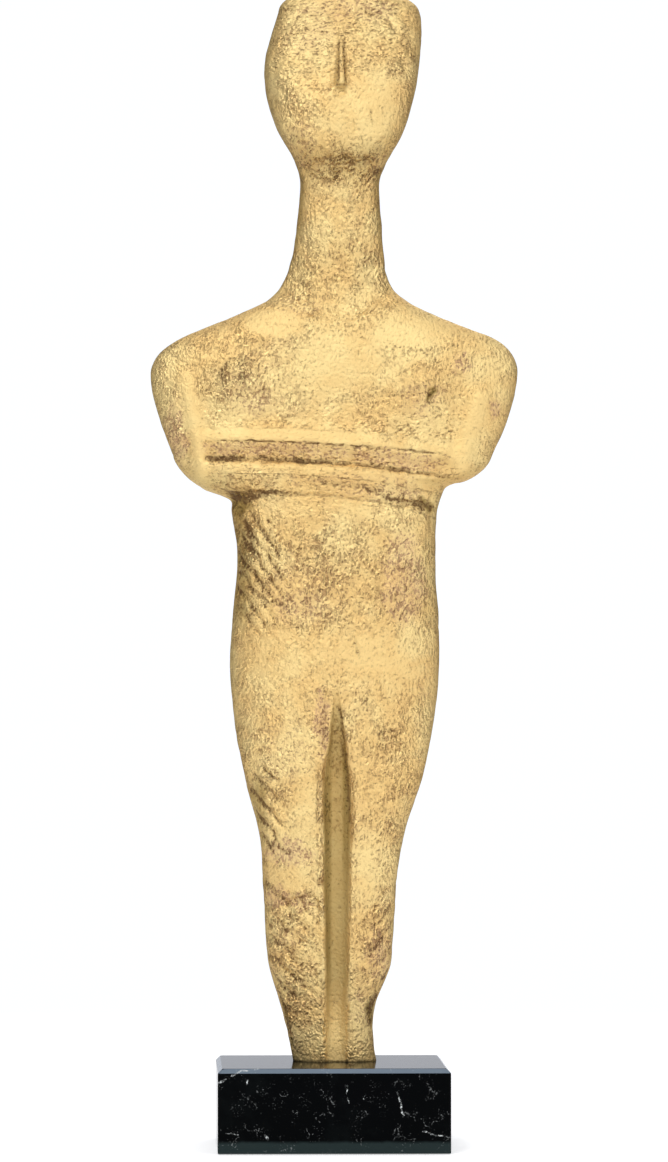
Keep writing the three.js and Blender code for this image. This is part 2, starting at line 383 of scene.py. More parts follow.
@dataclass(frozen=True)
class GiltBronze:
    """Old gold: satin metal, browned in its pits, dull on its flanks, with painted shade and painted
    highlights.
    """

    # The bright gold is also the colour of the painted highlights on the lumps.
    bright: Colour = linear(245, 217, 151)
    gold: Colour = linear(236, 199, 131)
    brown: Colour = linear(190, 146, 96)
    # Pinkish stain, also used as painted shade in recesses.
    stain_and_shade: Colour = linear(191, 148, 123)
    # Painted shade on the flanks, undersides, waist, neck, trough and shaded patches.
    shade: Colour = linear(118, 92, 24)
    # Brown of the pits, also the painted shade in grooves, creases and on the lumps' far side.
    pit_and_shade: Colour = linear(104, 74, 44)
    # Darkest painted shade, at the silhouettes.
    rim: Colour = linear(58, 48, 26)
    gloss: Colour = linear(252, 237, 204)
    # Step towards the light over which the painted shade and highlight on each lump are measured.
    painted_lee_shade: tuple[float, float, float] = (-0.14, 0.0, 0.23)
    lying_stretch: tuple[float, float, float] = (0.75, 1.0, 1.1)
    upright_stretch: tuple[float, float, float] = (1.1, 1.0, 0.8)
    grain_size: float = 0.76
    relief_depth: float = 1.15
    arm_lines: tuple[ArmLine, ...] = (
        ArmLine(1.0, 0.075, 0.9),
        ArmLine(0.0, 0.14, 0.6),
        ArmLine(-0.85, 0.06, 0.5),
        ArmLine(-1.95, 0.1, 0.55),
    )

    def relief(self, shader: Shader, place: Socket) -> Value:
        """Give the height of the fine lumps, drawn out along the lie of the skin.

        Args:
            shader: The tree to write in.
            place: Where on the surface, in metres.

        Returns:
            The height, from 0 to 1.
        """
        lying = shader.mark(Mark.LYING)
        flat = shader.vector("MULTIPLY", {0: place, 1: self.lying_stretch})
        tall = shader.vector("MULTIPLY", {0: place, 1: self.upright_stretch})
        across = shader.grain(flat, self.grain_size, 1.0)
        upright = shader.grain(tall, self.grain_size, 1.0)
        return lying * across + (1 - lying) * upright

    def arm_line(self, shader: Shader, place: Socket) -> Value:
        """Draw the thin, broken lines along the folded arms.

        Args:
            shader: The tree to write in.
            place: Where on the surface, in metres.

        Returns:
            How dark the lines are, from 0 to 1.
        """
        wander = 0.3 * shader.grain(place, 2.6, 2.0) - 0.15
        across = 2 * ARM_SPAN * shader.mark(Mark.ACROSS) - ARM_SPAN + wander
        broken = 0.15 + 0.85 * shader.grain(place, 1.7, 2.0).rise(0.4, 0.56)
        lines = []
        for line in self.arm_lines:
            near = 1 - abs(across - line.place).rise(0.3 * line.half_width, line.half_width)
            lines.append(near * line.dark)
        return reduce(Value.either, lines) * broken * shader.mark(Mark.ARMS)

    def material(self) -> bpy.types.Material:
        """Build the finish.

        Returns:
            A material that reads the marks of the figurine's skin.
        """
        made = bpy.data.materials.new("gilt_bronze")
        shader = Shader(made)
        place = shader.place()
        bent = shader.bent(place, 0.42, 2.0, 0.9)
        clusters = shader.grain(place, 3.6, 2.0).rise(0.36, 0.64)
        rough = shader.mark(Mark.ROUGH) * (0.56 + 0.88 * clusters)
        cloud = shader.grain(place, 12.0, 3.0)
        relief = self.relief(shader, bent)
        # Each lump gets painted shade on its side away from the light and a painted highlight on its side
        # towards it.
        beside = shader.vector("ADD", {0: bent, 1: Vector(self.painted_lee_shade) * MM})
        drop = self.relief(shader, beside) - relief
        painted_lee_shade = drop.rise(0.05, 0.19) * (0.25 + 0.75 * rough)
        painted_highlight = (0 - drop).rise(0.06, 0.2) * (0.3 + 0.7 * rough)
        grit = relief + 0.5 * shader.grain(bent, 0.5, 1.0) - 0.25
        mottle = shader.grain(bent, 2.6, 2.0, 0.6).rise(0.42, 0.62) * rough
        below = 0.28 + 0.06 * rough.rise(0.0, 0.3) + 0.12 * rough - grit
        hollow = below.rise(-0.13, 0.0)
        hole = below.rise(-0.02, 0.06)

        cut = (shader.mark(Mark.PIT_AND_SHADE) * (0.72 + 0.5 * hollow)).rise(0.15, 0.9)
        line = self.arm_line(shader, bent)
        stain_and_shade = (shader.mark(Mark.STAIN_AND_SHADE) * (0.5 + 0.7 * hollow)).rise(0.1, 1.0)
        shade = shader.mark(Mark.SHADE) * (0.92 + 0.08 * hollow)

        colour = shader.mix(cloud.rise(0.36, 0.64).either(0.6 - 1.6 * rough), self.gold, self.bright)
        # Pinkish stains, partly painted shade in the recesses under the forearms, beneath the breasts and
        # under the chin.
        colour = shader.mix(stain_and_shade * 0.6, colour, self.stain_and_shade)
        colour = shader.mix(mottle * 0.35, colour, self.brown)
        colour = shader.mix(hollow * (0.05 + 0.2 * rough), colour, self.brown)
        # Painted highlight on the side of each lump towards the light.
        colour = shader.mix(painted_highlight * 0.55, colour, self.bright)
        # Painted shade on the flanks, undersides, trough and shaded patches, darkest at the silhouettes.
        colour = shader.mix(shade * 0.9, colour, self.shade)
        colour = shader.mix(shade.rise(0.8, 1.0) * 0.7, colour, self.rim)
        # Brown in the pits and cuts, with painted shade in the forearms' grooves and in some creases.
        colour = shader.mix(cut * 0.85, colour, self.pit_and_shade)
        colour = shader.mix(hole * (0.1 + 0.2 * rough), colour, self.pit_and_shade)
        # Painted shade on the side of each lump away from the light.
        colour = shader.mix(painted_lee_shade * 0.68, colour, self.pit_and_shade)
        # Thin dark lines along the forearms: dark in their grooves and painted shade under their bands.
        colour = shader.mix(line * 0.9, colour, self.pit_and_shade)

        dull = hole.either(painted_lee_shade * 0.7).either(shade * 0.7).either(stain_and_shade * 0.4).either(cut * 0.8)
        height = relief * (0.3 + 0.7 * rough) - 0.1 * hole - 0.15 * line
        bumps = {"Height": height, "Strength": 1.0, "Distance": self.relief_depth * MM}
        inputs = {
            "Base Color": colour,
            "Metallic": 0.4 + 0.35 * rough - 0.35 * dull,
            "Roughness": 0.6 - 0.18 * rough + 0.2 * dull,
            "Specular IOR Level": 0.35,
            "Specular Tint": (*self.gloss, 1.0),
            "Normal": shader.node("ShaderNodeBump", {}, bumps).outputs["Normal"],
        }
        shader.surface(shader.node("ShaderNodeBsdfPrincipled", {}, inputs))
        return made


@dataclass(frozen=True)
class Streak:
    """A white streak in the marble, from one point to another on the block, in millimetres."""

    start: tuple[float, float, float]
    end: tuple[float, float, float]
    width: float


@dataclass(frozen=True)
class BlackMarble:
    """Polished black marble with thin white veins and flecks, and a painted highlight along its upper
    chamfers.
    """

    black: Colour = linear(2, 3, 4)
    grey: Colour = linear(20, 25, 25)
    foot: Colour = linear(36, 46, 46)
    # Pale blue-grey of the painted highlight on the upper chamfers.
    chamfer_highlight: Colour = linear(122, 136, 150)
    vein: Colour = linear(214, 219, 218)
    half_size: tuple[float, float, float] = (27.5, 27.5, 10.0)
    chamfer: float = 1.1
    streaks: tuple[Streak, ...] = (
        Streak((-27.6, -27.5, 16.8), (-21.8, -27.5, 19.2), 0.42),
        Streak((-21.8, -27.5, 19.2), (-17.5, -26.5, 20.1), 0.36),
        Streak((-21.2, -27.5, 19.0), (-20.9, -27.5, 16.6), 0.22),
        Streak((-27.6, -27.5, 16.8), (-27.6, -6, 12.0), 0.3),
        Streak((-21.6, -27.5, 12.2), (-22.0, -27.5, 9.6), 0.2),
        Streak((-4.2, -27.5, 8.9), (-3.8, -27.5, 7.4), 0.24),
        Streak((3.1, -27.5, 16.0), (3.7, -27.5, 6.4), 0.2),
        Streak((6.5, -27.5, 16.2), (6.9, -27.5, 12.9), 0.2),
        Streak((15.2, -27.5, 13.6), (16.3, -27.5, 9.2), 0.34),
        Streak((20.4, -27.5, 5.4), (27.5, -27.5, 3.6), 0.2),
        Streak((-16.6, -27.5, 4.4), (-13.8, -27.5, 2.0), 0.28),
        Streak((-25.9, -27.5, 5.4), (-22.8, -27.5, 4.5), 0.2),
        Streak((27.5, -14, 16.5), (27.5, 9, 6.0), 0.3),
        Streak((-6, 27.5, 17.5), (12, 27.5, 3.0), 0.3),
        Streak((12, 6, 20), (24, 19, 20), 0.3),
    )

    def material(self) -> bpy.types.Material:
        """Build the finish.

        Returns:
            A material for the block.
        """
        made = bpy.data.materials.new("black_marble")
        shader = Shader(made)
        place = shader.place()
        bent = shader.bent(place, 0.22, 3.0, 3.4)
        patch = shader.grain(place, 3.4, 3.0)
        specks = shader.grain(place, 0.45, 2.0)
        threads = 1 - abs(shader.grain(bent, 7.0, 2.0) - 0.5).rise(0.0, 0.012)
        threads = threads * patch.rise(0.5, 0.62) * specks.rise(0.42, 0.62) * 0.22
        flecks = specks.rise(0.6, 0.74) * patch.rise(0.48, 0.66) * 0.16
        white = threads.either(flecks)
        for streak in self.streaks:
            near = self.streak_mask(shader, bent, streak)
            white = white.either(near * (0.08 + specks.rise(0.44, 0.66)))
        cloud = shader.grain(bent, 8.0, 4.0, 0.6).rise(0.5, 0.8)
        split = shader.node("ShaderNodeSeparateXYZ", {}, {"Vector": place})
        height = Value(shader, split.outputs["Z"]) / MM
        colour = shader.mix(cloud * 0.25, self.black, self.grey)
        colour = shader.mix(1 - (height + 0.8 * patch).rise(2.6, 3.6), colour, self.foot)
        # Painted highlight along the upper chamfers.
        colour = shader.mix(self.chamfer_mask(shader, split) * 0.8, colour, self.chamfer_highlight)
        colour = shader.mix(white, colour, self.vein)
        polish = shader.grain(place, 1.6, 2.0)
        inputs = {
            "Base Color": colour,
            "Roughness": 0.06 + 0.05 * polish + 0.12 * white,
            "Specular IOR Level": 0.02,
            "IOR": 1.52,
        }
        shader.surface(shader.node("ShaderNodeBsdfPrincipled", {}, inputs))
        return made

    def chamfer_mask(self, shader: Shader, split: bpy.types.Node) -> Value:
        """Find the chamfers round the top, which carry a painted highlight.

        Args:
            shader: The tree to write in.
            split: The place on the block, split into its coordinates.

        Returns:
            1 on a chamfer, 0 on the polished faces.
        """
        near = []
        for axis, half, middle in zip("XYZ", self.half_size, (0.0, 0.0, self.half_size[2])):
            away = abs(Value(shader, split.outputs[axis]) / MM - middle)
            near.append(away.rise(half - self.chamfer - 0.05, half - self.chamfer + 0.1))
        height = Value(shader, split.outputs["Z"]) / MM
        upper = height.rise(self.half_size[2], 2 * self.half_size[2] - 1.0)
        return near[0].either(near[1]) * near[2] * upper

    def streak_mask(self, shader: Shader, place: Socket, streak: Streak) -> Value:
        """Find how near a place is to one streak.

        Args:
            shader: The tree to write in.
            place: The place on the block, bent a little by noise.
            streak: The streak.

        Returns:
            1 on the streak, 0 away from it.
        """
        start = Vector(streak.start) * MM
        run = Vector(streak.end) * MM - start
        from_start = shader.vector("SUBTRACT", {0: place, 1: start})
        along = shader.vector("DOT_PRODUCT", {0: from_start, 1: run / run.length_squared}, "Value")
        along = shader.value("ShaderNodeClamp", {}, {"Value": along}, 0)
        nearest = shader.vector("SCALE", {0: run, "Scale": along})
        away = Value(shader, shader.vector("DISTANCE", {0: from_start, 1: nearest}, "Value"))
        return 1 - away.rise(0.2 * streak.width * MM, 1.1 * streak.width * MM)


@dataclass(frozen=True)
class Patch:
    """An oval place on the figurine's front: its middle, its half-sizes and its strength."""

    x: float
    height: float
    half_width: float
    half_height: float
    strength: float

    def cover(self, x: np.ndarray, height: np.ndarray) -> np.ndarray:
        """Give the strength at the middle, falling off softly to nothing."""
        away = np.hypot((x - self.x) / self.half_width, (height - self.height) / self.half_height)
        return self.strength * (1.0 - smoothstep(0.55, 1.25, away))


def patches(*rows: tuple[float, float, float, float, float]) -> tuple[Patch, ...]:
    """Make patches from rows of x, height, half-width, half-height and strength."""
    return tuple(Patch(*row) for row in rows)


def covered(places: tuple[Patch, ...], x: np.ndarray, height: np.ndarray) -> np.ndarray:
    """Add up how strongly some patches cover each place."""
    return sum(patch.cover(x, height) for patch in places)


@dataclass(frozen=True)
class Crease:
    """A line cut into the figurine's front."""

    path: tuple[Place, ...]
    half_width: float
    depth: float
    dark: float


@dataclass(frozen=True)
class Ripple:
    """Rough ridges side by side on the figurine's front, which lean up to the right by some degrees."""

    patch: Patch
    lean: float
    spacing: float
    depth: float
    dark: float


@dataclass(frozen=True)
class Skin:
    """The figurine's skin before it is carved.

    Its points are kept by row and then column, in millimetres from the sole. The columns of the front come
    before those of the back.
    """

    points: np.ndarray
    front_columns: int

    @property
    def x(self) -> np.ndarray:
        """Give the sideways places."""
        return self.points[..., 0]

    @property
    def height(self) -> np.ndarray:
        """Give the heights above the sole."""
        return self.points[..., 2]

    @property
    def in_front(self) -> np.ndarray:
        """Mark the columns of the front."""
        return np.arange(self.points.shape[1]) < self.front_columns

    @cached_property
    def normals(self) -> np.ndarray:
        """Find the outward directions.

        Returns:
            A direction of length 1 at each point.
        """
        across = np.roll(self.points, -1, axis=1) - np.roll(self.points, 1, axis=1)
        up = np.gradient(self.points, axis=0)
        outward = np.cross(across, up)
        return outward / np.maximum(np.linalg.norm(outward, axis=2, keepdims=True), 1e-9)

    @cached_property
    def front(self) -> np.ndarray:
        """Give 1 where the skin faces forward, and 0 at the sides and on the back."""
        return smoothstep(0.05, 0.4, -self.normals[..., 1])


@dataclass
class Figurine:
    """The cast figure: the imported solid's rings, resampled and carved."""

    rows: int = 470
    front_columns: int = 140
    back_columns: int = 70
    sole: float = 20.0
    forearm_slope: float = 0.065
    forearm_sag: float = 0.0012
    forearm_end: float = 30.0
    forearm_groove: float = 143.5
    forearm_edge: float = 135.3
    forearm_ledge: float = 147.7
    upper_crest: Place = (148.2, 150.6)
    lower_crest: Place = (140.4, 142.2)
    recess_band: Place = (144.2, 147.4)
    lower_band: Place = (136.0, 140.0)
    ridge_heights: Place = (137.0, 152.0)
    ridge_wander: float = 0.55
    left_arm_ridge: tuple[Place, Place] = ((-35.1, 164.0), (-30.9, 141.0))
    right_arm_ridge: tuple[Place, Place] = ((35.6, 159.0), (31.1, 143.5))
    arm_ridge_width: float = 1.6
    arm_step: float = 151.0
    armpit: Place = (-23.5, 132.6)
    waist_heights: Place = (108.0, 136.0)
    neck_heights: Place = (182.0, 222.0)
    chin_edge: float = 215.0
    chin_x: float = 2.0
    chin_curve: float = 0.037
    brow_centre: Place = (1.9, 234.0)
    brow_spacing: float = 3.4
    brow_depth: float = 0.1
    cleft_x: float = 1.1
    cleft_foot_half: float = 2.4
    cleft_half: float = 3.3
    cleft_top_half: float = 0.9
    cleft_full: float = 62.0
    cleft_top: float = 91.0
    trough_wander: float = 0.3
    smooth: tuple[Patch, ...] = patches(
        (-12, 97, 13, 7, 0.28), (14, 96, 12, 8, 0.28), (3, 99, 9, 6, 0.2),
        (-10.0, 43.4, 6.2, 2.8, 0.42), (-6, 62, 4, 9, 0.35), (8, 44, 3, 8, 0.22), (38, 165, 8, 14, 0.2),
        (2, 168, 12, 8, 0.4), (20, 175, 12, 4, 0.5), (-14, 177, 8, 4, 0.6), (5, 226, 8, 7, 0.32),
        (12, 229, 6, 8, 0.3),
    )
    coarse: tuple[Patch, ...] = patches(
        (-2, 116, 22, 12, 0.35), (-21, 124, 4, 16, 0.45), (-10, 22, 9, 20, 0.4), (11, 24, 6, 20, 0.45),
        (-17, 66, 5, 14, 0.35), (12.5, 67, 7, 16, 0.2), (-23, 162, 7, 7, 0.25), (3, 214, 12, 4, 0.55),
        (-11, 238, 4, 12, 0.25), (17, 237, 4, 10, 0.25), (18, 150, 12, 4, 0.2),
    )
    # Stains, with painted shade in the recesses between and under the forearms, beneath the breasts, under
    # the chin and under the ledge above the left knee.
    stains_and_shade: tuple[Patch, ...] = patches(
        (-21, 161, 7, 7, 0.4), (21, 159, 6, 5, 0.5), (12, 135.8, 13, 2.0, 0.5),
        (-37.5, 150, 3.2, 10, 0.75), (-17, 146.6, 16, 2.0, 0.8), (8, 145.0, 14, 2.2, 0.75),
        (21, 143.0, 8, 2.4, 0.7), (31.5, 167.5, 3.0, 2.6, 0.8), (38.5, 156.0, 1.8, 2.6, 0.8),
        (6, 139.0, 18, 1.8, 0.4), (17, 115, 6, 12, 0.8), (-6, 113, 14, 9, 0.35),
        (3, 215.0, 12, 3.0, 0.3), (-8, 220, 5, 6, 0.45), (-8, 181, 8, 3, 0.4), (15, 70, 6, 16, 0.12),
        (-12, 74, 8, 10, 0.35), (-2.7, 81, 1.7, 9, 1.0), (-14.0, 40.0, 3.2, 3.0, 0.9),
        (-9.5, 38.4, 6.0, 1.8, 0.7), (12, 26, 4, 8, 0.4), (-9, 20, 8, 22, 0.2), (10, 18, 6, 20, 0.3),
        (-9.5, 50, 7, 3.6, 0.8), (3, 253, 14, 3.5, 0.6), (-6, 246, 8, 6, 0.4),
    )
    # Painted shade on the ankles' outer edges, under the left elbow, at the right end of the waist, in the
    # slit by the right arm and along the left thigh's edge.
    shaded: tuple[Patch, ...] = patches(
        (-11.6, 8, 1.8, 10, 0.8), (10.2, 11.5, 1.6, 5, 0.9), (-22.5, 133.6, 3.5, 3, 0.9),
        (22.6, 133.0, 2.6, 1.4, 0.75), (23.2, 159.2, 0.8, 1.8, 1.0), (-18, 60, 2.4, 9, 0.6),
    )
    ripples: tuple[Ripple, ...] = (
        Ripple(Patch(-18, 118, 7, 18, 1.0), -55.0, 2.5, 0.4, 1.0),
        Ripple(Patch(-16, 60, 5, 13, 1.0), -50.0, 2.8, 0.45, 1.0),
        Ripple(Patch(-9, 24, 7, 16, 1.0), -42.0, 3.4, 0.4, 0.7),
        Ripple(Patch(12, 27, 5, 14, 0.8), 52.0, 3.2, 0.3, 0.8),
    )
    creases: tuple[Crease, ...] = (
        Crease(((-28.6, 139.4), (-28.7, 144.8)), 0.45, 0.3, 0.6),
        Crease(((-24.5, 168.0), (-26.4, 165.5), (-25.6, 162.8), (-23.5, 160.8)), 1.4, 0.25, 0.6),
        Crease(((-23.5, 160.8), (-20.0, 158.6)), 1.6, 0.2, 0.4),
        Crease(((23.0, 160.8), (23.5, 157.8)), 1.0, 0.6, 1.0),
        Crease(((13.6, 159.4), (20.6, 159.8)), 1.1, 0.2, 0.6),
        Crease(((15.8, 164.6), (20.2, 167.1)), 0.7, 0.2, 0.6),
        Crease(((21.1, 170.4), (25.9, 167.7)), 0.7, 0.2, 0.7),
        Crease(((14.1, 172.1), (16.3, 171.0)), 0.6, 0.2, 0.8),
        Crease(((7.0, 174.4), (6.1, 167.7)), 0.7, 0.1, 0.4),
        Crease(((25.9, 153.1), (28.6, 150.5)), 0.6, 0.2, 0.7),
        Crease(((23.6, 158.2), (26.0, 155.0)), 1.2, 0.2, 0.6),
        Crease(((8.4, 137.0), (14.1, 134.9), (19.2, 133.8), (24.2, 132.6)), 1.2, 0.3, 1.0),
        Crease(((13.6, 136.6), (14.6, 134.0)), 0.8, 0.2, 0.8),
        Crease(((17.0, 136.0), (17.6, 133.2)), 0.7, 0.2, 0.9),
        Crease(((19.4, 135.6), (19.8, 132.6)), 0.7, 0.2, 0.9),
        Crease(((21.4, 135.2), (21.8, 132.0)), 0.8, 0.3, 1.0),
        Crease(((23.4, 135.0), (23.6, 131.6)), 0.7, 0.3, 1.0),
        # Painted shadow under the left elbow.
        Crease(((-25.0, 135.2), (-20.4, 134.6), (-16.5, 135.4)), 1.4, 0.3, 1.0),
        Crease(((18.5, 152.7), (16.0, 151.0), (12.7, 149.4)), 0.6, 0.2, 0.8),
        Crease(((-10.4, 104.4), (-7.4, 103.6)), 0.5, 0.3, 0.7),
        Crease(((-21.0, 129.5), (-19.4, 124.6), (-17.3, 120.0)), 0.7, 0.3, 0.8),
        Crease(((-18.4, 117.0), (-17.4, 113.6), (-15.2, 110.2), (-11.8, 109.4)), 0.6, 0.3, 0.8),
        Crease(((-8.2, 101.4), (-5.0, 95.6), (-1.6, 90.6)), 1.2, 0.2, 0.1),
        Crease(((5.2, 101.2), (7.4, 94.6)), 0.7, 0.25, 0.7),
        Crease(((-3.4, 92.0), (-1.4, 88.6)), 0.9, 0.2, 0.6),
        Crease(((-1.7, 88.5), (-2.3, 82.0), (-3.2, 73.5)), 1.1, 0.25, 0.55),
        Crease(((1.7, 84.5), (2.6, 79.0), (3.4, 70.0), (3.9, 58.0)), 0.7, 0.25, 0.8),
        Crease(((-2.0, 138.6), (12.6, 137.2)), 1.2, 0.15, 0.6),
        Crease(((-16.0, 43.8), (-13.8, 40.6), (-10.8, 38.0)), 1.1, 0.5, 0.9),
        Crease(((-10.8, 38.0), (-7.2, 39.6), (-4.0, 39.8)), 0.7, 0.4, 0.5),
        Crease(((-17.0, 54.2), (-13.6, 51.6), (-10.4, 50.2)), 1.2, 0.3, 0.8),
        Crease(((7.9, 87.0), (9.4, 82.4), (11.2, 78.8), (14.8, 79.6)), 0.9, 0.25, 0.7),
        # Painted shade along the ankles' outer edges.
        Crease(((10.6, 15.6), (9.0, 12.4), (8.8, 8.8)), 1.2, 0.3, 0.8),
        Crease(((-12.6, 16.0), (-11.2, 10.4), (-9.8, 3.6)), 1.2, 0.2, 0.8),
        Crease(((-3.7, 39.4), (-3.6, 32.5)), 0.4, 0.3, 0.6),
        Crease(((13.4, 41.4), (10.6, 37.6), (10.4, 35.2)), 0.6, 0.3, 0.6),
        Crease(((1.25, 234.6), (1.7, 244.8)), 0.45, 0.25, 1.0),
        Crease(((3.35, 234.6), (2.9, 244.8)), 0.45, 0.25, 1.0),
        # Painted shadow under the nose's base.
        Crease(((0.2, 233.6), (4.4, 233.6)), 0.6, 0.3, 0.9),
        Crease(((-5.1, 251.2), (0.4, 251.2)), 0.5, 0.3, 0.8),
        Crease(((8.2, 251.6), (17.8, 251.4)), 0.5, 0.3, 0.7),
        Crease(((-9.7, 246.7), (-5.7, 247.5), (-0.7, 247.1)), 0.5, 0.3, 0.7),
        Crease(((12.2, 245.6), (16.3, 244.4), (18.7, 242.3)), 0.5, 0.3, 0.7),
        Crease(((-10.3, 242.2), (-3.3, 243.5)), 0.4, 0.25, 0.6),
        Crease(((9.1, 227.9), (9.7, 224.1)), 0.4, 0.25, 0.7),
        Crease(((5.3, 225.2), (5.5, 223.0)), 0.4, 0.25, 0.6),
        # Painted shade along the chin's overhang.
        Crease(((-9.0, 221.4), (-2.4, 218.1), (-0.2, 215.9), (3.1, 216.6)), 1.4, 0.3, 0.55),
        Crease(((3.1, 216.6), (5.8, 214.4), (9.1, 217.6), (11.5, 219.8)), 1.4, 0.3, 0.55),
    )

    def build(self, material: bpy.types.Material) -> bpy.types.Object:
        """Make the carved skin, dress it, and let it stand for its solid.

        Args:
            material: The figurine's finish.

        Returns:
            The finished piece.
        """
        skin = self.unsteady(self.resample(self.rings(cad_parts["figurine"])))
        rise, marks = self.carve(skin)
        near_sole = smoothstep(0.0, 1.5, skin.height)
        piece = self.mesh(skin.points + skin.normals * (rise * near_sole)[..., None])
        for mark, values in marks.items():
            self.store(piece, mark, values)
        piece.data.materials.append(material)
        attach(piece, BODY)
        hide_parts("figurine")
        return piece

    def rings(self, node: bpy.types.Object) -> np.ndarray:
        """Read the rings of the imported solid, from the sole to the last one below the crown's point.

        Args:
            node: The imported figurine.

        Returns:
            Places in millimetres from the sole, by ring and then round it from the left over the front.
        """
        corners = np.array([vertex.co for vertex in node.data.vertices])
        points, which = np.unique(np.round(corners, 6), axis=0, return_inverse=True)
        points = points / MM - (0.0, 0.0, self.sole)
        which = which.ravel()
        neighbours: list[set[int]] = [set() for _ in points]
        for face in node.data.polygons:
            loop = [int(which[index]) for index in face.vertices]
            for one, other in zip(loop, loop[1:] + loop[:1]):
                neighbours[one].add(other)
                neighbours[other].add(one)
        on_sole = np.flatnonzero(points[:, 2] < MM)
        middle = points[on_sole].mean(axis=0)
        centre = on_sole[np.argmin(np.linalg.norm(points[on_sole] - middle, axis=1))]
        seen = {int(centre)}
        ring = {int(centre)}
        found = []
        while ring:
            ring = set().union(*(neighbours[one] for one in ring)) - seen
            seen |= ring
            if len(ring) > 1:
                found.append(points[self.in_order(ring, neighbours, points)])
        return np.array(found)

    def in_order(self, ring: set[int], neighbours: list[set[int]], points: np.ndarray) -> list[int]:
        """Walk round a ring of the solid, from its leftmost point over the front.

        Args:
            ring: The ring's points.
            neighbours: The points joined to each point.
            points: Where the points are.

        Returns:
            The ring's points in order.
        """
        order = [min(ring, key=lambda one: points[one, 0])]
        order.append(min(neighbours[order[0]] & ring, key=lambda one: points[one, 1]))
        while len(order) < len(ring):
            order.append(min((neighbours[order[-1]] & ring) - set(order)))
        return order

    def resample(self, rings: np.ndarray) -> Skin:
        """Fill in close rows and columns on a smooth surface through the rings.

        Args:
            rings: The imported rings.

        Returns:
            The smooth skin.
        """
        top = rings[-1].mean(axis=0) + (0.0, 0.0, 0.1)
        rings = np.concatenate([rings, (rings[-1:] - top) * 0.25 + top])
        climb = np.linalg.norm(np.diff(rings, axis=0), axis=2).mean(axis=1)
        knots = np.concatenate([[0.0], np.cumsum(climb)])
        rows = cubic_resample(rings, knots, np.linspace(0.0, knots[-1], self.rows))

        wrapped = np.concatenate([rows[:, -3:], rows, rows[:, :4]], axis=1).swapaxes(0, 1)
        steps = np.linalg.norm(np.diff(wrapped, axis=0), axis=2)
        girth = steps[3:-3].sum(axis=0)
        knots = np.concatenate([[0.0], np.cumsum((steps / girth).mean(axis=1))])
        knots -= knots[3]
        edge = int(np.argmax(rows[0, :, 0])) + 3
        right = knots[edge]
        front = np.linspace(0.0, right, self.front_columns, endpoint=False)
        back = np.linspace(right, 1.0, self.back_columns, endpoint=False)
        points = cubic_resample(wrapped, knots, np.concatenate([front, back])).swapaxes(0, 1)
        return Skin(points, self.front_columns)

    def unsteady(self, skin: Skin) -> Skin:
        """Let the arms' ridges and the trough's edges wander, and close the trough to a point.

        Args:
            skin: The smooth skin.

        Returns:
            The skin with its points a little moved.
        """
        x, height, front = skin.x, skin.height, skin.in_front
        aside, from_cleft = np.abs(x), np.abs(x - self.cleft_x)
        wander = swirl(skin.points, (6.0, 6.0, 6.0), 43.7)
        arms = within(height, *self.ridge_heights, 4.0) * within(aside, 0.0, 28.0, 6.0) * front
        legs = within(height, 4.0, 84.0, 6.0) * within(from_cleft, 0.0, 5.0, 2.0) * front
        edges = within(height, 138.0, 166.0, 4.0) * within(aside, 30.0, 35.0, 3.0) * front
        moved = eased(skin.points, 0, 5, arms)
        moved = eased(moved, 1, 24, edges)
        moved[..., 2] += self.ridge_wander * wander * arms
        moved[..., 0] += self.trough_wander * wander * legs
        beside = moved[..., 0] - self.cleft_x
        closing = smoothstep(self.cleft_full, self.cleft_top, height)
        closing = closing * (1.0 - smoothstep(self.cleft_top + 1.0, self.cleft_top + 9.0, height)) * front
        moved[..., 0] -= 0.6 * beside * closing * within(np.abs(beside), 0.0, 4.0, 5.0)
        armpit_x, armpit_height = self.armpit
        armpit = np.exp(-(((height - armpit_height) / 1.8) ** 2)) * smoothstep(armpit_x + 2.5, armpit_x, x)
        moved[..., 0] -= 0.9 * armpit
        return Skin(moved, self.front_columns)

    def level(self, skin: Skin) -> np.ndarray:
        """Give the height along the sloping lines of the folded arms."""
        along = np.clip(skin.x, -self.forearm_end, self.forearm_end)
        return skin.height + self.forearm_slope * along + self.forearm_sag * along * along

    def recess_edges(self, skin: Skin) -> tuple[np.ndarray, np.ndarray]:
        """Give the levels of the recess's lower and upper edge, which part to the right."""
        spread = np.clip(skin.x, 0.0, self.forearm_end) ** 2
        return self.forearm_groove - 0.0011 * spread, self.forearm_ledge + 0.0006 * spread

    def carve(self, skin: Skin) -> tuple[np.ndarray, dict[Mark, np.ndarray]]:
        """Work out the fine relief and the marks that the finish reads.

        Args:
            skin: The smooth skin.

        Returns:
            The rise above the smooth skin in millimetres, and the marks.
        """
        points, x, height, front = skin.points, skin.x, skin.height, skin.front
        swell = swirl(points, (9, 9, 9), 3.1)
        crust = swirl(points, (3.6, 3.6, 3.2), 11.3)
        wavy = points + 1.2 * np.stack([crust, crust, -crust], axis=2)
        lying = self.direction(height)
        grit = swirl(wavy, (2.6, 2.0, 1.7), 57.9) * lying
        grit = grit + swirl(wavy, (1.7, 2.0, 2.6), 83.2) * (1.0 - lying)
        rough = self.roughness(skin) * (0.85 + 0.5 * swirl(points, (13, 13, 13), 31.7))
        rough = np.clip(rough, 0.04, 1.0)
        pits = smoothstep(0.16, 0.5, grit) * rough

